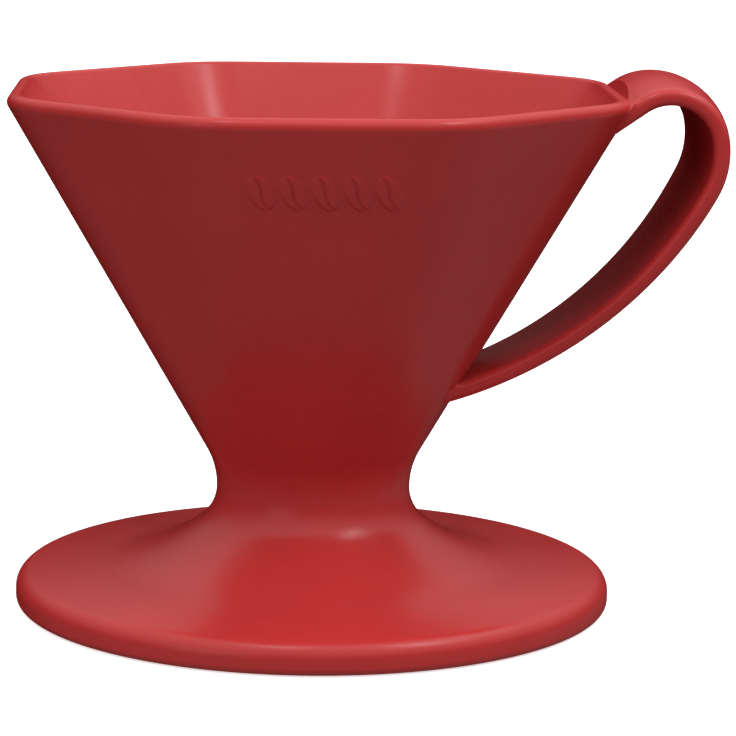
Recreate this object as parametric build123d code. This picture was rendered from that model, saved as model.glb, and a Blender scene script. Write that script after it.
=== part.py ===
"""Pour over coffee dripper: an octagonal funnel on a round trumpet foot, with a strap handle.

Millimetres, +Z up.  The origin is on the funnel's axis, in the plane that the foot stands on.
The handle lies along +X.  The funnel and the foot meet at the waist, where a spigot on the funnel
plugs into the foot's neck, and a threaded drip nozzle clamps the two from below.
"""
import os
from math import acos, atan2, cos, degrees, hypot, radians, sin, tan

from build123d import *

# Funnel: outer skin, measured to the flats of the octagon
rim_height = 99.0
rim_apothem = 58.5            # at the sharp rim edge, before the lip is rounded
rim_corner_radius = 22.0      # plan radius of the eight corners at the rim
lip_radius = 1.6
waist_height = 22.3
waist_radius = 18.6
waist_arc_radius = 15.6       # side-view radius between the funnel wall and the waist
nearly_round_flat = 0.4       # apothem less corner radius, where the octagon has become a circle

# Funnel: inside
wall = 3.0                    # square to the skin
inner_corner_radius = 18.5
inner_lip_radius = 1.0
outlet_radius = 6.0
outlet_top = 10.0
rib_width = 1.6
rib_height = 1.2
rib_top = 66.0
rib_bottom = 14.0
rib_spacing = 5.0             # between the two ribs of one flat
rib_root = 1.0                # how far a rib runs back into the wall
rib_run_out = 4.0             # height over which a rib's top slopes away

# Spigot, seal and nozzle
spigot_radius = 14.9
spigot_step = 9.5             # height at which the spigot steps down to its thread
thread_radius = 13.0
spigot_bottom = 3.2
seal_bottom = 17.6
seal_height = 1.8
seal_depth = 1.2
neck_bore = 15.0
neck_outer = 17.6
nozzle_bottom = 1.2
nozzle_radius = 16.2
nozzle_flange = 2.0
drip_radius = 3.5
grip_flutes = 16
grip_flute_radius = 1.1

# Foot: outer skin
foot_radius = 57.2
foot_slope = 7.0              # degrees, the saucer's fall towards its edge
flare_radius = 8.4            # small arc below the waist
flare_turn = 52.1             # degrees that it turns
saucer_radius = 38.2          # large arc that runs out to the saucer
foot_top_edge = 3.3
foot_bottom_edge = 1.5

# Foot: underside
seat_height = 3.4             # flat ring that a mug's rim bears on
seat_inner = 38.2
seat_outer = 53.9
skirt_inner = 54.5
hollow_top = 12.0             # beside the neck
hollow_middle = (25.0, 9.3)
hollow_outer = 33.0
hollow_edge_height = 5.8
cup_ring_inner = 34.2
cup_ring_outer = 36.4
cup_ring_top = 7.2
cup_ring_bottom = 1.2
cup_ring_edge = 0.8

# Handle: side-view centre line as a straight run, then arcs of (radius, turn in degrees)
strap_root = (50.35, 91.6)
strap_rise = 34.7             # degrees above level where it leaves the rim
strap_run = 11.0
strap_arcs = [(9.4, 115.0), (16.0, 37.0), (77.5, 15.0), (80.0, 34.0)]
strap_thickness = 3.0
strap_edge_radius = 1.3
strap_crown = 1.5
strap_width_top = 40.0
strap_width_bottom = 24.0
taper_top = 84.0              # heights between which the strap narrows
taper_bottom = 43.0
taper_bend_radius = 60.0

# Tenons that seat the handle's two ends in the funnel wall: (height, half width)
tenons = [(96.2, 12.0), (43.3, 7.0)]
tenon_height = 1.6
tenon_depth = 1.6
tenon_reach = 1.2             # how far each one runs back into the strap

# Raised coffee beans on the front flat
bean_count = 5
bean_pitch = 5.6
bean_half_width = 2.3
bean_half_length = 4.3
bean_tilt = 24.0
bean_relief = 0.4
bean_crease_width = 0.55
bean_crease_sway = 0.4
bean_row_height = 85.4


def on_arc(centre, radius, angle):
    """The point on an arc in the side view, at an angle in degrees from +X."""
    return (centre[0] + radius * cos(radians(angle)), centre[1] + radius * sin(radians(angle)))


def wall_tangent():
    """Where the straight funnel wall meets the waist arc, and that point's angle on the arc."""
    centre = (waist_radius + waist_arc_radius, waist_height)
    across = rim_apothem - centre[0]
    up = rim_height - centre[1]
    angle = degrees(atan2(up, across) + acos(waist_arc_radius / hypot(across, up)))
    return on_arc(centre, waist_arc_radius, angle), angle


(wall_foot_radius, wall_foot_height), wall_foot_angle = wall_tangent()
wall_slope = (rim_apothem - wall_foot_radius) / (rim_height - wall_foot_height)
wall_level_thickness = wall * hypot(1, wall_slope)


def skin_apothem(height):
    """Distance from the axis to the middle of a flat, on the funnel's outer skin."""
    return rim_apothem - (rim_height - height) * wall_slope


def octagon(apothem, corner_radius, height):
    """A rounded octagon with flats facing X and Y."""
    plan = RegularPolygon(apothem, 8, major_radius=False, rotation=22.5)
    return Pos(0, 0, height) * fillet(plan.vertices(), corner_radius)


def funnel_core(inset, corner_at_rim, corner_at_foot, foot_height, top):
    """A solid octagonal funnel, set in from the outer skin by a level distance."""
    high = octagon(skin_apothem(top) - inset, corner_at_rim, top)
    low = octagon(skin_apothem(foot_height) - inset, corner_at_foot, foot_height)
    return loft([high, low], ruled=True)


def spin(profile):
    """Revolve a closed side-view profile about the axis."""
    return revolve(make_face(Plane.XZ * profile), Axis.Z)


def ring(inner, outer, bottom, top):
    """A plain ring about the axis."""
    return spin(Polyline((inner, bottom), (outer, bottom), (outer, top), (inner, top), close=True))


def funnel_skin():
    """The funnel's filled outer form, from the lip down to the waist."""
    corner_at_foot = wall_foot_radius - nearly_round_flat
    upper = funnel_core(0, rim_corner_radius, corner_at_foot, wall_foot_height, rim_height)
    upper = fillet(upper.edges().group_by(Axis.Z)[-1], lip_radius)
    centre = (waist_radius + waist_arc_radius, waist_height)
    middle = on_arc(centre, waist_arc_radius, (wall_foot_angle + 180) / 2)
    sides = Polyline((waist_radius, waist_height), (0, waist_height), (0, wall_foot_height),
                     (wall_foot_radius, wall_foot_height))
    neck = ThreePointArc((wall_foot_radius, wall_foot_height), middle, (waist_radius, waist_height))
    return upper + spin(sides + neck)


def spigot():
    """The stepped plug below the waist, with the seal's groove."""
    plug = spin(Polyline((0, waist_height), (spigot_radius, waist_height),
                         (spigot_radius, spigot_step), (thread_radius, spigot_step),
                         (thread_radius, spigot_bottom), (0, spigot_bottom), close=True))
    groove = ring(spigot_radius - seal_depth, spigot_radius + 1, seal_bottom, seal_bottom + seal_height)
    return plug - groove


def funnel_bore():
    """The octagonal inside of the funnel, and the round outlet below it."""
    foot_corner = skin_apothem(outlet_top) - wall_level_thickness - nearly_round_flat
    bowl = funnel_core(wall_level_thickness, inner_corner_radius, foot_corner, outlet_top, rim_height + 1)
    return bowl + Pos(0, 0, outlet_top / 2) * Cylinder(outlet_radius, outlet_top + 1)


def filter_ribs():
    """Two upright ribs on each flat, which hold the paper off the wall."""
    top_radius = skin_apothem(rib_top) - wall_level_thickness
    bottom_radius = skin_apothem(rib_bottom) - wall_level_thickness
    side = Polyline((top_radius + rib_root, rib_top), (top_radius, rib_top),
                    (top_radius - rib_height - rib_run_out * wall_slope, rib_top - rib_run_out),
                    (bottom_radius - rib_height, rib_bottom), (bottom_radius + rib_root, rib_bottom),
                    close=True)
    blade = extrude(make_face(Plane.XZ * side), rib_width / 2, both=True)
    return [Rot(0, 0, 45 * flat) * Pos(0, offset, 0) * blade
            for flat in range(8) for offset in (-rib_spacing / 2, rib_spacing / 2)]


def bean():
    """One raised coffee bean with its crease, lying in the XY plane."""
    body = extrude(Ellipse(bean_half_width, bean_half_length), bean_relief)
    crease_line = Spline((-bean_crease_sway, -bean_half_length), (bean_crease_sway, -bean_half_length / 3),
                         (-bean_crease_sway, bean_half_length / 3), (bean_crease_sway, bean_half_length))
    crease = extrude(trace(crease_line, bean_crease_width), 2 * bean_relief)
    return Rot(0, 0, bean_tilt) * (body - crease)


def bean_row():
    """A row of beans on the front flat, in the flat's own plane."""
    flat = Plane(origin=(0, -skin_apothem(bean_row_height), bean_row_height), x_dir=(1, 0, 0),
                 z_dir=(0, -1, -wall_slope))
    first = -bean_pitch * (bean_count - 1) / 2
    return [flat * Pos(first + i * bean_pitch, 0, 0) * bean() for i in range(bean_count)]


def tenon_blocks():
    """The two blocks that join the handle to the funnel wall."""
    length = tenon_depth + tenon_reach
    return [Pos(skin_apothem(height) - tenon_depth + length / 2, 0, height)
            * Box(length, 2 * half_width, tenon_height) for height, half_width in tenons]


def filter_cone():
    """The octagonal funnel with its lip, ribs, spigot, raised beans and handle mortises."""
    solid = funnel_skin() + spigot()
    ribs = [rib & solid for rib in filter_ribs()]
    shell = solid - funnel_bore()
    mouth = shell.faces().sort_by(Axis.Z)[-1].inner_wires()[0]
    shell = fillet(mouth.edges(), inner_lip_radius)
    return shell + ribs + bean_row() - tenon_blocks()


def strap_line():
    """The handle's centre line in the side view."""
    rise = radians(strap_rise)
    end = (strap_root[0] + strap_run * cos(rise), strap_root[1] + strap_run * sin(rise))
    pieces = [Line(strap_root, end)]
    for radius, turn in strap_arcs:
        pieces.append(JernArc(pieces[-1] @ 1, pieces[-1] % 1, radius, -turn))
    return pieces


def strap_section():
    """Across the strap: flat inside, crowned outside."""
    half, level = strap_width_top / 2, strap_thickness / 2
    return make_face([Line((-half, -level), (half, -level)), Line((half, -level), (half, level)),
                      ThreePointArc((half, level), (0, level + strap_crown), (-half, level)),
                      Line((-half, level), (-half, -level))])


def strap_front_outline():
    """The strap's width from the front: wide at the arch, narrowing down to the lower end."""
    top, bottom = strap_width_top / 2, strap_width_bottom / 2
    beyond = 30
    outline = Polyline((-bottom, taper_bottom - beyond), (bottom, taper_bottom - beyond),
                       (bottom, taper_bottom), (top, taper_top), (top, taper_top + beyond),
                       (-top, taper_top + beyond), (-top, taper_top), (-bottom, taper_bottom), close=True)
    face = make_face(outline)
    bends = [v for v in face.vertices() if taper_bottom - 1 < v.Y < taper_top + 1]
    return fillet(bends, taper_bend_radius)


def handle():
    """The strap handle, cut to sit on the funnel's skin, with a tenon at each end."""
    path = Plane.XZ * Wire(strap_line())
    start = Plane(origin=path @ 0, x_dir=(0, 1, 0), z_dir=path % 0)
    front = Plane.YZ * strap_front_outline()
    strap = sweep(start * strap_section(), path=path) & extrude(front, 2 * rim_apothem)
    long_edges = [edge for edge in strap.edges()
                  if edge.length > strap_thickness + 1 and abs(edge.center().Y) > strap_width_bottom / 3]
    strap = fillet(long_edges, strap_edge_radius)
    return strap - funnel_skin() + tenon_blocks()


def foot_outer():
    """The foot's filled outer form: waist, flare, saucer and edge."""
    flare_centre = (waist_radius + flare_radius, waist_height)
    flare_end_angle = 180 + flare_turn
    flare_end = on_arc(flare_centre, flare_radius, flare_end_angle)
    saucer_centre = on_arc(flare_end, -saucer_radius, flare_end_angle)
    saucer_end_angle = 270 - foot_slope
    saucer_end = on_arc(saucer_centre, saucer_radius, saucer_end_angle)
    edge_height = saucer_end[1] - (foot_radius - saucer_end[0]) * tan(radians(foot_slope))
    flare = ThreePointArc((waist_radius, waist_height),
                          on_arc(flare_centre, flare_radius, 180 + flare_turn / 2), flare_end)
    saucer = ThreePointArc(flare_end, on_arc(saucer_centre, saucer_radius,
                                             (flare_end_angle + saucer_end_angle) / 2), saucer_end)
    rest = Polyline(saucer_end, (foot_radius, edge_height), (foot_radius, 0), (0, 0), (0, waist_height),
                    (waist_radius, waist_height))
    face = make_face(flare + saucer + rest)
    corners = [v for v in face.vertices() if abs(v.X - foot_radius) < 0.01]
    face = fillet([v for v in corners if v.Y > foot_top_edge], foot_top_edge)
    lower = [v for v in face.vertices() if abs(v.X - foot_radius) < 0.01 and v.Y < foot_bottom_edge]
    face = fillet(lower, foot_bottom_edge)
    return revolve(Plane.XZ * face, Axis.Z)


def foot_hollow():
    """The space under the foot: skirt, mug seat and the hollow below the flare."""
    arch = ThreePointArc((neck_outer, hollow_top), hollow_middle, (hollow_outer, hollow_edge_height))
    rest = Polyline((hollow_outer, hollow_edge_height), (seat_inner, hollow_edge_height),
                    (seat_inner, seat_height), (seat_outer, seat_height), (skirt_inner, -1),
                    (neck_outer, -1), (neck_outer, hollow_top))
    return spin(arch + rest)


def pedestal_base():
    """The round foot: neck socket, trumpet flare and saucer with a mug seat underneath."""
    socket = ring(0, neck_bore, spigot_step, waist_height)
    below_neck = ring(0, neck_outer, -1, spigot_step)
    groove = ring(cup_ring_inner, cup_ring_outer, 0, cup_ring_top)
    return foot_outer() - foot_hollow() - socket - below_neck - groove


def neck_seal():
    """The silicone seal between the spigot and the foot's neck."""
    return ring(spigot_radius - seal_depth, neck_bore, seal_bottom, seal_bottom + seal_height)


def outlet_nozzle():
    """The threaded drip nozzle, whose flange clamps the foot's neck up against the funnel."""
    body = spin(Polyline((drip_radius, nozzle_bottom), (nozzle_radius, nozzle_bottom),
                         (nozzle_radius, spigot_step - nozzle_flange),
                         (neck_outer, spigot_step - nozzle_flange), (neck_outer, spigot_step),
                         (thread_radius, spigot_step), (thread_radius, spigot_bottom),
                         (outlet_radius, spigot_bottom), close=True))
    flute_height = spigot_step - nozzle_flange - nozzle_bottom
    flute = Pos(nozzle_radius + grip_flute_radius / 2, 0, nozzle_bottom + flute_height / 2) * Cylinder(
        grip_flute_radius, flute_height)
    return body - [Rot(0, 0, i * 360 / grip_flutes) * flute for i in range(grip_flutes)]


def cup_ring():
    """The soft ring under the foot that centres it in a mug's mouth."""
    band = ring(cup_ring_inner, cup_ring_outer, cup_ring_bottom, cup_ring_top)
    return fillet(band.edges().group_by(Axis.Z)[0], cup_ring_edge)


parts = {
    "filter_cone": filter_cone,
    "pedestal_base": pedestal_base,
    "handle": handle,
    "outlet_nozzle": outlet_nozzle,
    "neck_seal": neck_seal,
    "cup_ring": cup_ring,
}

os.makedirs("parts", exist_ok=True)
for name, build in parts.items():
    export_step(build(), f"parts/{name}.step")
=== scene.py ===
"""Looks for the pour over dripper: an octagonal funnel on a round trumpet foot, with a strap handle.

The funnel, the foot and the handle are rebuilt here as fine meshes over their CAD nodes.  The drip
nozzle, the neck seal and the cup ring keep their CAD shapes and get a material.  Side-view profiles
are (distance from the axis, height) in millimetres; pieces are made in metres.
"""
from math import acos, atan, atan2, ceil, cos, degrees, exp, hypot, pi, radians, sin, sqrt, tan

import bmesh
import bpy
from mathutils import Matrix, Vector


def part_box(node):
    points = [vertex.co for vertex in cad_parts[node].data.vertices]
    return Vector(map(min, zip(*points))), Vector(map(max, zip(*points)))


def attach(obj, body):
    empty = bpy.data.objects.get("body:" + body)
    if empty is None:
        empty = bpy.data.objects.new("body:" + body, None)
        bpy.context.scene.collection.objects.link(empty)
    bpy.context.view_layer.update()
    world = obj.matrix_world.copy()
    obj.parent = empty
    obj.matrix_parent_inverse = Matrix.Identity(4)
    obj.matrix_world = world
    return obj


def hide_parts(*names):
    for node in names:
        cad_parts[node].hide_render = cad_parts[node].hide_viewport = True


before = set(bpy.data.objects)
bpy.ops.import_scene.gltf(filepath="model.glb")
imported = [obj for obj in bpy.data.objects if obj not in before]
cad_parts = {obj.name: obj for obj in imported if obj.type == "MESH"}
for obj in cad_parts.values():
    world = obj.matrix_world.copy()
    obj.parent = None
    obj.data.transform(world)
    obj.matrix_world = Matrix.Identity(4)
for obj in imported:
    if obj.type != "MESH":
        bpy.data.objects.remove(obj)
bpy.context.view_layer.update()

MM = 0.001
EIGHTH = radians(45)
HALF_FLAT = tan(EIGHTH / 2)

# Sizes read from the frame
rim_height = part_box("filter_cone")[1].z / MM
spigot_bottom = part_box("filter_cone")[0].z / MM
waist_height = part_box("pedestal_base")[1].z / MM
foot_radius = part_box("pedestal_base")[1].x / MM
strap_half_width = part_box("handle")[1].y / MM

# Funnel, outer skin
rim_apothem = 58.5            # at the sharp rim edge, before the lip is rounded
rim_corner_radius = 22.0
lip_radius = 1.6
waist_radius = 18.6
waist_arc_radius = 15.6
nearly_round_flat = 0.4       # apothem less corner radius, where the octagon has become a circle

# Funnel, inside
wall = 3.0                    # square to the skin
inner_corner_radius = 18.5
inner_top = rim_height + 1.0  # where the sharp inner octagon is set out
inner_lip_radius = 1.0
outlet_radius = 6.0
outlet_top = 10.0
rib_width = 1.6
rib_height = 1.2
rib_root = 1.0                # how far a rib runs back into the wall
rib_top = 66.0
rib_bottom = 14.0
rib_offset = 2.5              # from the middle of a flat to each of its two ribs
rib_run_out = 4.0             # height over which a rib's ends slope away
rib_lower_end = 0.3           # share of the rib's height that is left at its lower end

# Spigot
spigot_radius = 14.9
spigot_step = 9.5
thread_radius = 13.0
seal_bottom = 17.6
seal_top = 19.4
seal_depth = 1.2
spigot_edge = 0.2             # rounding of the spigot's inner corners

# Foot
foot_slope = 7.0              # degrees, the saucer's fall towards its edge
flare_radius = 8.4
flare_turn = 52.1             # degrees
saucer_radius = 38.2
foot_top_edge = 3.3
foot_bottom_edge = 1.5
neck_bore = 15.0
neck_outer = 17.6
seat_height = 3.4
seat_inner = 38.2
seat_outer = 53.9
skirt_inner = 54.5
hollow_top = 12.0
hollow_middle = (25.0, 9.3)
hollow_edge = (33.0, 5.8)
ring_groove = (34.2, 36.4, 7.2)  # inner radius, outer radius, top
moulded_edge = 0.35           # rounding of the foot's lesser edges

# Handle
strap_root = (50.35, 91.6)    # where the centre line starts, inside the wall
strap_rise = 34.7             # degrees
strap_run = 11.0              # straight length before the first arc
strap_arcs = [(9.4, 115.0), (16.0, 37.0), (77.5, 15.0), (80.0, 34.0)]  # radius, degrees
strap_half_thickness = 1.5
strap_edge_radius = 1.3
strap_crown = 1.5             # bulge of the outer face where the strap is widest
strap_lower_half_width = 12.0
taper_top = 84.0
taper_bottom = 43.0
taper_bend = 7.8              # half the length of the bends at the taper's ends
strap_bury = 1.3              # how far the strap's ends run into the funnel wall
end_blend = 0.9               # fillets beside the strap's ends
root_overrun = 3.9            # how much further the strap is made at its ends, so that
foot_overrun = 7.8            # its whole section reaches the sloping wall
end_step = 0.3                # spacing of the sections near the strap's ends
end_steps = 24
middle_step = 0.8             # and between them

# Raised coffee beans on the front flat
bean_count = 5
bean_pitch = 5.6
bean_half_width = 2.3
bean_half_length = 4.3
bean_tilt = radians(24)
bean_relief = 0.4
bean_bevel = 0.55             # width of the slope round each bean
crease_width = 0.3
crease_depth = 0.9            # share of the relief
crease_sway = 0.4             # how far the crease bends to each side
bean_row_height = 85.4
relief_half_width = 15.0      # the finely meshed part of the front flat
relief_half_height = 5.6
relief_step = 0.2

column_step = radians(0.75)
wall_rows = 10                # rows of the outer wall below the bean row
lip_rows = 4                  # and above it
inside_rows = 16
lathe_columns = 256


# ---------------------------------------------------------------- side-view geometry

def on_arc(centre, radius, angle):
    """The point on an arc at an angle in degrees from the level."""
    return (centre[0] + radius * cos(radians(angle)), centre[1] + radius * sin(radians(angle)))


def arc(centre, radius, start, end, count):
    """Points along an arc, both ends included."""
    return [on_arc(centre, radius, start + (end - start) * i / count) for i in range(count + 1)]


def arc_through(a, b, c, count):
    """Points along the arc that passes through three points."""
    (ax, az), (bx, bz), (cx, cz) = a, b, c
    d = 2 * (ax * (bz - cz) + bx * (cz - az) + cx * (az - bz))
    aa, bb, cc = ax * ax + az * az, bx * bx + bz * bz, cx * cx + cz * cz
    centre = ((aa * (bz - cz) + bb * (cz - az) + cc * (az - bz)) / d,
              (aa * (cx - bx) + bb * (ax - cx) + cc * (bx - ax)) / d)
    start = degrees(atan2(az - centre[1], ax - centre[0]))
    end = degrees(atan2(cz - centre[1], cx - centre[0]))
    return arc(centre, hypot(ax - centre[0], az - centre[1]), start, end, count)


def soften(points, radius, steps=4, least_turn=20):
    """Round the sharp inner corners of an open profile."""
    out = [points[0]]
    for i in range(1, len(points) - 1):
        corner = Vector(points[i])
        before, after = Vector(points[i - 1]) - corner, Vector(points[i + 1]) - corner
        turn = pi - before.angle(after)
        if degrees(turn) < least_turn:
            out.append(points[i])
            continue
        reach = min(radius * tan(turn / 2), 0.45 * before.length, 0.45 * after.length)
        first, last = corner + before.normalized() * reach, corner + after.normalized() * reach
        for k in range(steps + 1):
            t = k / steps
            point = first * (1 - t) ** 2 + corner * 2 * t * (1 - t) + last * t * t
            out.append((point.x, point.y))
    return out + [points[-1]]


def wall_foot():
    """Where the funnel's straight wall meets the waist arc, and the angle there on the arc."""
    centre = (waist_radius + waist_arc_radius, waist_height)
    across, up = rim_apothem - centre[0], rim_height - centre[1]
    angle = degrees(atan2(up, across) + acos(waist_arc_radius / hypot(across, up)))
    return on_arc(centre, waist_arc_radius, angle), angle


(foot_x, foot_z), foot_angle = wall_foot()
wall_slope = (rim_apothem - foot_x) / (rim_height - foot_z)
wall_lean = degrees(atan(wall_slope))
per_level = hypot(1, wall_slope)
level_wall = wall * per_level


def skin(height):
    """Distance from the axis to the middle of an outer flat."""
    return rim_apothem - (rim_height - height) * wall_slope


def skin_core(height):
    """Outer apothem less corner radius: the octagon that carries the corner centres."""
    share = max((height - foot_z) / (rim_height - foot_z), 0)
    low = nearly_round_flat * min(max((height - waist_height) / (foot_z - waist_height), 0), 1)
    return low + share * (rim_apothem - rim_corner_radius - nearly_round_flat)


def bore(height):
    """Distance from the axis to the middle of an inner flat."""
    return skin(height) - level_wall


def bore_core(height):
    """Inner apothem less corner radius."""
    share = (height - outlet_top) / (inner_top - outlet_top)
    high = bore(inner_top) - inner_corner_radius
    return nearly_round_flat + max(share, 0) * (high - nearly_round_flat)


# ---------------------------------------------------------------- mesh helpers

def octagon_reach(apothem, core, polar):
    """Distance from the axis to a rounded octagon, at a polar angle; flats face X and Y."""
    off = abs((polar + EIGHTH / 2) % EIGHTH - EIGHTH / 2)
    half = core * HALF_FLAT
    if apothem * tan(off) <= half:
        return apothem / cos(off)
    radius = apothem - core
    along = core * cos(off) + half * sin(off)
    return along + sqrt(max(along * along - core * core - half * half + radius * radius, 0))


def mesh_object(name, vertices, faces, sharp_angle=32):
    """A smooth-shaded mesh object, with its sharp edges marked; vertices in millimetres."""
    mesh = bpy.data.meshes.new(name)
    mesh.from_pydata([Vector(v) * MM for v in vertices], [], faces)
    work = bmesh.new()
    work.from_mesh(mesh)
    bmesh.ops.recalc_face_normals(work, faces=work.faces)
    for face in work.faces:
        face.smooth = True
    for edge in work.edges:
        edge.smooth = edge.calc_face_angle(0) < radians(sharp_angle)
    work.to_mesh(mesh)
    work.free()
    piece = bpy.data.objects.new(name, mesh)
    bpy.context.scene.collection.objects.link(piece)
    return piece


def loop_faces(rows, columns, first=0, close_rows=True):
    """Quads over a grid that wraps round its columns, and round its rows as well if asked."""
    last = rows if close_rows else rows - 1
    faces = []
    for i in range(last):
        for j in range(columns):
            a, b = first + i * columns, first + (i + 1) % rows * columns
            k = (j + 1) % columns
            faces.append((a + j, a + k, b + k, b + j))
    return faces


def lathe(name, profile):
    """A closed piece turned about the axis from a closed side-view profile."""
    vertices = [(r * cos(2 * pi * j / lathe_columns), r * sin(2 * pi * j / lathe_columns), z)
                for r, z in profile for j in range(lathe_columns)]
    return mesh_object(name, vertices, loop_faces(len(profile), lathe_columns))


# ---------------------------------------------------------------- funnel

def bean_height(across, along):
    """Relief of the bean row at a place on the front flat, measured from the row's middle."""
    first = -bean_pitch * (bean_count - 1) / 2
    nearest = min(max(round((across - first) / bean_pitch), 0), bean_count - 1)
    best = 0
    for i in {max(nearest - 1, 0), nearest, min(nearest + 1, bean_count - 1)}:
        u = across - first - i * bean_pitch
        p = u * cos(bean_tilt) + along * sin(bean_tilt)
        q = along * cos(bean_tilt) - u * sin(bean_tilt)
        inside = (1 - hypot(p / bean_half_width, q / bean_half_length)) * bean_half_width
        if inside <= 0:
            continue
        t = min(inside / bean_bevel, 1)
        dome = t * t * (3 - 2 * t)
        bend = p - crease_sway * sin(pi * q / bean_half_length)
        best = max(best, bean_relief * dome * (1 - crease_depth * exp(-(bend / crease_width) ** 2)))
    return best


def funnel_columns():
    """Polar angles of the funnel's columns: even, and closer together across the bean row."""
    front = 1.5 * pi
    steps = ceil(relief_half_width / relief_step)
    flat = skin(bean_row_height)
    fine = [front + atan(k * relief_step / flat) for k in range(-steps, steps + 1)]
    left, right = fine[-1], fine[0] + 2 * pi
    count = ceil((right - left) / column_step)
    return fine + [left + (right - left) * k / count for k in range(1, count)]


def funnel_rows():
    """The funnel's rows as (apothem, core, height), up the outside and down the inside."""
    rows = []
    centre = (waist_radius + waist_arc_radius, waist_height)
    for x, z in arc(centre, waist_arc_radius, 180, foot_angle, 16):
        rows.append((x, skin_core(z), z))
    lip_z = rim_height - lip_radius
    lip_x = skin(lip_z) - lip_radius * per_level
    lip_foot = on_arc((lip_x, lip_z), lip_radius, -wall_lean)[1]
    rise = relief_half_height / per_level
    low, high = bean_row_height - rise, bean_row_height + rise
    heights = [foot_z + (low - foot_z) * k / wall_rows for k in range(1, wall_rows + 1)]
    fine = ceil((high - low) / relief_step * per_level)
    heights += [low + (high - low) * k / fine for k in range(1, fine + 1)]
    heights += [high + (lip_foot - high) * k / lip_rows for k in range(1, lip_rows)]
    rows += [(skin(z), skin_core(z), z) for z in heights]
    for x, z in arc((lip_x, lip_z), lip_radius, -wall_lean, 90, 16):
        rows.append((x, skin_core(z), z))
    mouth_z = rim_height - inner_lip_radius
    mouth_x = bore(mouth_z) + inner_lip_radius * per_level
    for x, z in arc((mouth_x, mouth_z), inner_lip_radius, 90, 180 - wall_lean, 8):
        rows.append((x, bore_core(z), z))
    top = rows[-1][2]
    heights = [top + (outlet_top - top) * k / inside_rows for k in range(1, inside_rows + 1)]
    rows += [(bore(z), bore_core(z), z) for z in heights]
    groove = spigot_radius - seal_depth
    spigot = [(outlet_radius, outlet_top), (outlet_radius, spigot_bottom), (thread_radius, spigot_bottom),
              (thread_radius, spigot_step), (spigot_radius, spigot_step), (spigot_radius, seal_bottom),
              (groove, seal_bottom), (groove, seal_top), (spigot_radius, seal_top),
              (spigot_radius, waist_height)]
    return rows + [(r, 0, z) for r, z in soften(spigot, spigot_edge)]


def rib_mesh(flat, offset, first):
    """One filter rib on an inner flat: a rounded bar with sloping ends."""
    section = [(-0.5, -1), (-0.5, 0.35), (-0.38, 0.78), (-0.2, 0.95), (0, 1),
               (0.2, 0.95), (0.38, 0.78), (0.5, 0.35), (0.5, -1)]
    angle = flat * EIGHTH
    out = Vector((cos(angle), sin(angle), 0))
    side = Vector((-sin(angle), cos(angle), 0))
    stations = 26
    vertices = []
    for i in range(stations + 1):
        z = rib_bottom + (rib_top - rib_bottom) * i / stations
        ends = min((rib_top - z) / rib_run_out, (z - rib_bottom) / rib_run_out + rib_lower_end, 1)
        height = rib_height * ends
        for across, up in section:
            level = up * height if up > 0 else -rib_root
            point = out * (bore(z) - level) + side * (offset + across * rib_width)
            vertices.append((point.x, point.y, z))
    n = len(section)
    faces = loop_faces(stations + 1, n, first, close_rows=False)
    faces += [tuple(first + j for j in range(n)),
              tuple(first + stations * n + j for j in reversed(range(n)))]
    return vertices, faces


def funnel():
    """The octagonal funnel in one closed mesh, with its bean row, lip, spigot and ribs."""
    columns, rows = funnel_columns(), funnel_rows()
    lean = radians(wall_lean)
    vertices = []
    for apothem, core, z in rows:
        on_wall = foot_z < z < rim_height - lip_radius * 2 and abs(apothem - skin(z)) < 0.01
        for polar in columns:
            reach = octagon_reach(apothem, core, polar)
            x, y = reach * cos(polar), reach * sin(polar)
            along = (z - bean_row_height) * per_level
            if on_wall and y < 0 and abs(x) < relief_half_width and abs(along) < relief_half_height:
                lift = bean_height(x, along)
                y, height = y - lift * cos(lean), z - lift * sin(lean)
                vertices.append((x, y, height))
            else:
                vertices.append((x, y, z))
    faces = loop_faces(len(rows), len(columns))
    for flat in range(8):
        for offset in (-rib_offset, rib_offset):
            more, more_faces = rib_mesh(flat, offset, len(vertices))
            vertices += more
            faces += more_faces
    return mesh_object("funnel_shell", vertices, faces)


# ---------------------------------------------------------------- foot

def foot_profile():
    """The foot's closed profile: waist, flare, saucer, edge, underside and neck socket."""
    flare_centre = (waist_radius + flare_radius, waist_height)
    flare = arc(flare_centre, flare_radius, 180, 180 + flare_turn, 28)
    saucer_centre = on_arc(flare[-1], -saucer_radius, 180 + flare_turn)
    saucer = arc(saucer_centre, saucer_radius, 180 + flare_turn, 270 - foot_slope, 24)
    slope = tan(radians(foot_slope))
    edge_x = foot_radius - foot_top_edge
    edge_z = saucer[-1][1] - (foot_radius - saucer[-1][0]) * slope
    edge_centre = (edge_x, edge_z + foot_top_edge * slope - foot_top_edge / cos(radians(foot_slope)))
    edge = arc(edge_centre, foot_top_edge, 90 - foot_slope, 0, 16)
    bottom = arc((foot_radius - foot_bottom_edge, foot_bottom_edge), foot_bottom_edge, 0, -90, 10)
    groove_in, groove_out, groove_top = ring_groove
    under = soften([
        (skirt_inner, 0), (seat_outer, seat_height), (seat_inner, seat_height),
        (seat_inner, hollow_edge[1]), (groove_out, hollow_edge[1]), (groove_out, groove_top),
        (groove_in, groove_top), (groove_in, hollow_edge[1])], moulded_edge)
    hollow = arc_through(hollow_edge, hollow_middle, (neck_outer, hollow_top), 20)
    socket = [(neck_outer, spigot_step), (neck_bore, spigot_step), (neck_bore, waist_height)]
    return flare + saucer[1:] + edge[1:] + bottom + under + hollow + socket


# ---------------------------------------------------------------- handle

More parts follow.
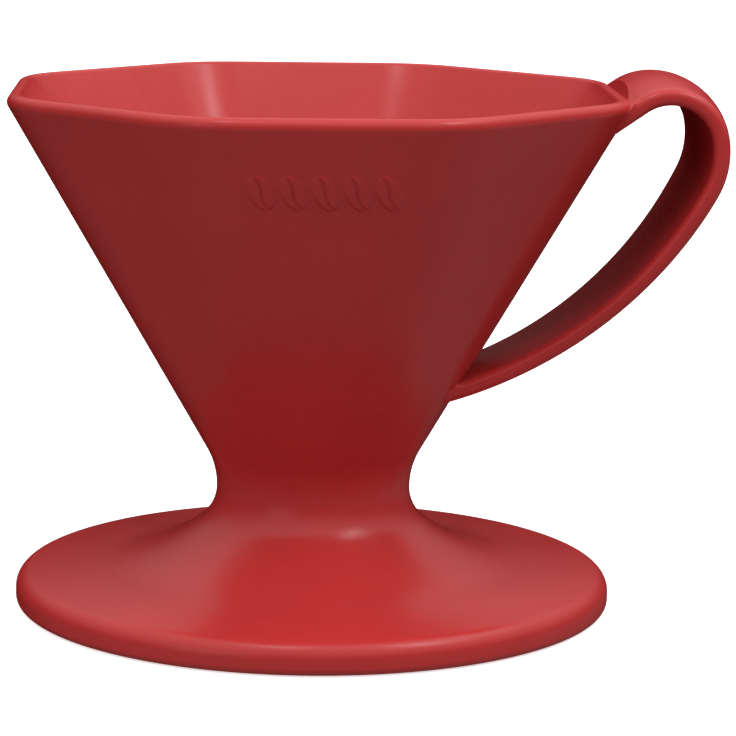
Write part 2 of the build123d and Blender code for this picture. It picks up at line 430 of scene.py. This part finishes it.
def strap_pieces():
    """The strap's centre line as pieces of (start x, start z, direction, bend radius, turn, length)."""
    heading = radians(strap_rise)
    x, z = strap_root
    pieces = [(x, z, heading, 0, 0, strap_run)]
    x, z = x + strap_run * cos(heading), z + strap_run * sin(heading)
    for radius, turn in strap_arcs:
        turn = radians(turn)
        pieces.append((x, z, heading, radius, turn, radius * turn))
        centre = (x + radius * sin(heading), z - radius * cos(heading))
        heading -= turn
        x, z = centre[0] - radius * sin(heading), centre[1] + radius * cos(heading)
    return pieces


def strap_at(pieces, distance):
    """Centre line point and direction at a distance along the strap."""
    for x, z, heading, radius, turn, length in pieces:
        if distance <= length or (x, z, heading, radius, turn, length) == pieces[-1]:
            break
        distance -= length
    if radius == 0:
        return x + distance * cos(heading), z + distance * sin(heading), heading
    centre = (x + radius * sin(heading), z - radius * cos(heading))
    now = heading - distance / radius
    return centre[0] - radius * sin(now), centre[1] + radius * cos(now), now


def strap_width(height):
    """Half the strap's width, which narrows evenly down to the lower end with soft bends."""
    slope = (strap_half_width - strap_lower_half_width) / (taper_top - taper_bottom)

    def ramp(beyond):
        if abs(beyond) < taper_bend:
            return (beyond + taper_bend) ** 2 / (4 * taper_bend)
        return max(beyond, 0)

    return strap_lower_half_width + slope * (ramp(height - taper_bottom) - ramp(height - taper_top))


def strap_section(half_width):
    """The strap's section, flat inside and crowned outside, with rounded edges.

    Points are (across, outward, how far the surface faces sideways).
    """
    e = strap_edge_radius
    crown_radius = (strap_half_width ** 2 + strap_crown ** 2) / (2 * strap_crown)

    def rise(across, out):
        if out < 0:
            return 0
        return sqrt(crown_radius ** 2 - across ** 2) - sqrt(crown_radius ** 2 - half_width ** 2)

    points = []
    for across, out, start in ((1, 1, 0), (-1, 1, 90), (-1, -1, 180), (1, -1, 270)):
        centre = (across * (half_width - e), out * (strap_half_thickness - e))
        for k in range(9):
            u, level = on_arc(centre, e, start + 90 * k / 8)
            points.append((u, level + rise(u, out), cos(radians(start + 90 * k / 8))))
        if start in (0, 180):
            for k in range(1, 16):
                u = centre[0] * (1 - 2 * k / 16)
                points.append((u, out * strap_half_thickness + rise(u, out), 0))
    return points


def skin_beside(across, height):
    """Distance out to the funnel's skin on the handle's side, at a distance across its flat."""
    core = skin_core(height)
    past = max(abs(across) - core * HALF_FLAT, 0)
    return core + sqrt((skin(height) - core) ** 2 - past ** 2)


def fillet_swell(depth):
    """How far the fillets at the ends stand out beside the strap, at a distance from the wall."""
    near = 1 - min(max(depth, 0) / end_blend, 1)
    return end_blend * (1 - sqrt(1 - near * near))


def strap_stations(pieces):
    """Distances along the strap between its buried ends, close together near the wall."""
    total = sum(piece[-1] for piece in pieces)
    along = [total * i / 2000 for i in range(2001)]
    clear = [d for d in along if strap_at(pieces, d)[0] > skin(strap_at(pieces, d)[1])]
    first, last = clear[0] - root_overrun, clear[-1] + foot_overrun
    inner = last - first - 2 * end_steps * end_step
    count = ceil(inner / middle_step)
    stations = [first + i * end_step for i in range(end_steps)]
    stations += [first + end_steps * end_step + inner * i / count for i in range(count)]
    return stations + [last - i * end_step for i in range(end_steps, -1, -1)]


def handle():
    """The strap handle, swept along its line, with its ends sunk in the funnel wall."""
    pieces = strap_pieces()
    stations = strap_stations(pieces)
    vertices = []
    for station in stations:
        x, z, heading = strap_at(pieces, station)
        for across, out, side in strap_section(strap_width(z)):
            px, pz = x - out * sin(heading), z + out * cos(heading)
            depth = (px - skin_beside(across, pz)) / per_level
            y = across + side * fillet_swell(depth)
            buried = skin_beside(y, pz) - strap_bury - px
            if buried > 0:
                run = buried / (cos(heading) - wall_slope * sin(heading))
                px, pz = px + run * cos(heading), pz + run * sin(heading)
            vertices.append((px, -y, pz))
    columns = len(vertices) // len(stations)
    faces = loop_faces(len(stations), columns, close_rows=False)
    faces += [tuple(range(columns)), tuple(reversed(range(len(vertices) - columns, len(vertices))))]
    return mesh_object("strap_handle", vertices, faces, sharp_angle=40)


# ---------------------------------------------------------------- materials

def new_material(name):
    """A node material, with its nodes, its links and its main shader."""
    material = bpy.data.materials.new(name)
    material.use_nodes = True
    nodes = material.node_tree.nodes
    return material, nodes, material.node_tree.links, nodes["Principled BSDF"]


def noise(nodes, links, coordinates, scale, detail, roughness=0.5):
    """Cloudy noise; the scale is per metre."""
    node = nodes.new("ShaderNodeTexNoise")
    node.inputs["Scale"].default_value = scale
    node.inputs["Detail"].default_value = detail
    node.inputs["Roughness"].default_value = roughness
    links.new(coordinates, node.inputs["Vector"])
    return node.outputs["Fac"]


def remap(nodes, links, value, low, high, new_low, new_high):
    """A value carried from one range to another, and held at its ends."""
    node = nodes.new("ShaderNodeMapRange")
    for socket, number in zip(("From Min", "From Max", "To Min", "To Max"), (low, high, new_low, new_high)):
        node.inputs[socket].default_value = number
    links.new(value, node.inputs["Value"])
    return node.outputs["Result"]


def mix_colour(nodes, links, share, first, second):
    """A colour between two others."""
    node = nodes.new("ShaderNodeMix")
    node.data_type = "RGBA"
    links.new(share, node.inputs["Factor"])
    node.inputs["A"].default_value = (*first, 1)
    node.inputs["B"].default_value = (*second, 1)
    return node.outputs["Result"]


def moulded_plastic():
    """Satin red moulded plastic: mottled pigment, fine orange peel, and uneven gloss from handling."""
    material, nodes, links, shader = new_material("satin_red_plastic")
    place = nodes.new("ShaderNodeTexCoord").outputs["Object"]
    pigment = noise(nodes, links, place, 45, 4, 0.6)
    colour = mix_colour(nodes, links, remap(nodes, links, pigment, 0.3, 0.7, 0, 1),
                        (0.47, 0.029, 0.029), (0.51, 0.033, 0.032))
    links.new(colour, shader.inputs["Base Color"])
    handling = noise(nodes, links, place, 28, 5, 0.6)
    links.new(remap(nodes, links, handling, 0.3, 0.7, 0.25, 0.32), shader.inputs["Roughness"])
    peel = noise(nodes, links, place, 900, 3, 0.5)
    bump = nodes.new("ShaderNodeBump")
    bump.inputs["Strength"].default_value = 0.06
    bump.inputs["Distance"].default_value = 0.0002
    links.new(peel, bump.inputs["Height"])
    links.new(bump.outputs["Normal"], shader.inputs["Normal"])
    shader.inputs["IOR"].default_value = 1.49
    shader.inputs["Specular IOR Level"].default_value = 0.28
    return material


def silicone():
    """Dark red silicone: matt, with a fine powdery mottle."""
    material, nodes, links, shader = new_material("dark_red_silicone")
    place = nodes.new("ShaderNodeTexCoord").outputs["Object"]
    mottle = noise(nodes, links, place, 160, 4, 0.6)
    colour = mix_colour(nodes, links, remap(nodes, links, mottle, 0.3, 0.7, 0, 1),
                        (0.30, 0.024, 0.024), (0.37, 0.034, 0.032))
    links.new(colour, shader.inputs["Base Color"])
    links.new(remap(nodes, links, mottle, 0.3, 0.7, 0.55, 0.7), shader.inputs["Roughness"])
    bump = nodes.new("ShaderNodeBump")
    bump.inputs["Strength"].default_value = 0.2
    bump.inputs["Distance"].default_value = 0.0001
    links.new(mottle, bump.inputs["Height"])
    links.new(bump.outputs["Normal"], shader.inputs["Normal"])
    return material


def floor_material():
    """Pale studio floor with a faint paper grain, lit from within; it is see-through from below."""
    material, nodes, links, shader = new_material("pale_floor")
    place = nodes.new("ShaderNodeTexCoord").outputs["Object"]
    grain = noise(nodes, links, place, 60, 3)
    colour = mix_colour(nodes, links, grain, (0.90, 0.90, 0.90), (0.93, 0.93, 0.93))
    links.new(colour, shader.inputs["Base Color"])
    shader.inputs["Roughness"].default_value = 0.9
    links.new(colour, shader.inputs["Emission Color"])
    shader.inputs["Emission Strength"].default_value = 0.7
    mix = nodes.new("ShaderNodeMixShader")
    links.new(nodes.new("ShaderNodeNewGeometry").outputs["Backfacing"], mix.inputs["Fac"])
    links.new(shader.outputs["BSDF"], mix.inputs[1])
    links.new(nodes.new("ShaderNodeBsdfTransparent").outputs["BSDF"], mix.inputs[2])
    links.new(mix.outputs["Shader"], nodes["Material Output"].inputs["Surface"])
    return material


# ---------------------------------------------------------------- studio

def aim(obj, place, target):
    """Put a light at a place and point it at a target."""
    obj.location = place
    obj.rotation_euler = (Vector(target) - Vector(place)).to_track_quat("-Z", "Y").to_euler()


def softbox(name, azimuth, elevation, distance, width, height, radiance):
    """A rectangular area light aimed at the rim; azimuth in degrees from the front, towards the handle."""
    light = bpy.data.lights.new(name, "AREA")
    light.shape = "RECTANGLE"
    light.size, light.size_y = width, height
    light.energy = radiance * pi * width * height
    lamp = bpy.data.objects.new(name, light)
    bpy.context.scene.collection.objects.link(lamp)
    a, e = radians(azimuth), radians(elevation)
    target = Vector((0, 0, rim_height * MM))
    aim(lamp, target + distance * Vector((sin(a) * cos(e), -cos(a) * cos(e), sin(e))), target)


def sky():
    """Soft light from high all round, and lower and upward light from the front only."""
    world = bpy.data.worlds.new("studio")
    bpy.context.scene.world = world
    world.use_nodes = True
    nodes, links = world.node_tree.nodes, world.node_tree.links
    direction = nodes.new("ShaderNodeTexCoord").outputs["Generated"]
    split = nodes.new("ShaderNodeSeparateXYZ")
    links.new(direction, split.inputs["Vector"])
    toward = nodes.new("ShaderNodeVectorMath")
    toward.operation = "DOT_PRODUCT"
    toward.inputs[1].default_value = (0.2, -0.98, 0)
    links.new(direction, toward.inputs[0])
    top = remap(nodes, links, split.outputs["Z"], 0.2, 0.8, 0, 1.1)
    middle = remap(nodes, links, split.outputs["Z"], 0, 0.35, 0, 0.4)
    below = remap(nodes, links, split.outputs["Z"], -0.12, 0, 0.36, 0.05)
    front = remap(nodes, links, toward.outputs["Value"], -0.9, 0.1, 0, 1)
    lower = nodes.new("ShaderNodeMath")
    links.new(middle, lower.inputs[0])
    links.new(below, lower.inputs[1])
    level = nodes.new("ShaderNodeMath")
    level.operation = "MULTIPLY_ADD"
    for value, socket in zip((lower.outputs["Value"], front, top), level.inputs):
        links.new(value, socket)
    nodes["Background"].inputs["Color"].default_value = (1, 1, 1, 1)
    links.new(level.outputs["Value"], nodes["Background"].inputs["Strength"])


def floor():
    """A plain pale floor, hidden from the object's own reflections."""
    mesh = bpy.data.meshes.new("floor")
    half, drop = 6.0, -0.0002
    mesh.from_pydata([(-half, -half, drop), (half, -half, drop), (half, half, drop), (-half, half, drop)],
                     [], [(0, 1, 2, 3)])
    plane = bpy.data.objects.new("floor", mesh)
    plane.visible_diffuse = False
    plane.visible_glossy = False
    plane.visible_shadow = False
    bpy.context.scene.collection.objects.link(plane)
    plane.data.materials.append(floor_material())


def camera():
    """The camera: a long lens, above the rim, almost square to the front flat; metres and degrees."""
    distance, side, height = 0.5971, 1.728, 0.1551
    pan, tilt, roll = 0.987, 10.422, 0.797
    around, heading = radians(side), radians(side + pan)
    down, turn = radians(tilt), radians(roll)
    place = Vector((-distance * sin(around), -distance * cos(around), height))
    forward = Vector((sin(heading) * cos(down), cos(heading) * cos(down), -sin(down)))
    level = Vector((cos(heading), -sin(heading), 0))
    upright = level.cross(forward)
    right = level * cos(turn) + upright * sin(turn)
    up = upright * cos(turn) - level * sin(turn)
    data = bpy.data.cameras.new("camera")
    data.sensor_width = 36
    data.lens = 154.74
    data.clip_end = 20
    eye = bpy.data.objects.new("camera", data)
    bpy.context.scene.collection.objects.link(eye)
    pose = Matrix((right, up, -forward)).transposed().to_4x4()
    pose.translation = place
    eye.matrix_world = pose
    bpy.context.scene.camera = eye


# ---------------------------------------------------------------- the object

plastic, rubber = moulded_plastic(), silicone()

for piece, node in ((funnel(), "filter_cone"), (lathe("trumpet_foot", foot_profile()), "pedestal_base"),
                    (handle(), "handle")):
    piece.data.materials.append(plastic)
    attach(piece, "root")
    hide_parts(node)

for node, material in (("outlet_nozzle", plastic), ("neck_seal", rubber), ("cup_ring", rubber)):
    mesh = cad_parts[node].data
    mesh.materials.clear()
    mesh.materials.append(material)

floor()
sky()
softbox("right_softbox", 57, 51, 0.8, 0.12, 0.28, 12)
softbox("left_softbox", -22, 64, 0.8, 0.16, 0.14, 9)
softbox("side_softbox", 95, 52, 1.0, 0.5, 0.4, 1.2)
softbox("low_softbox", -40, 5, 1.0, 0.5, 0.4, 1.0)
camera()
bpy.context.scene.view_settings.view_transform = "Standard"
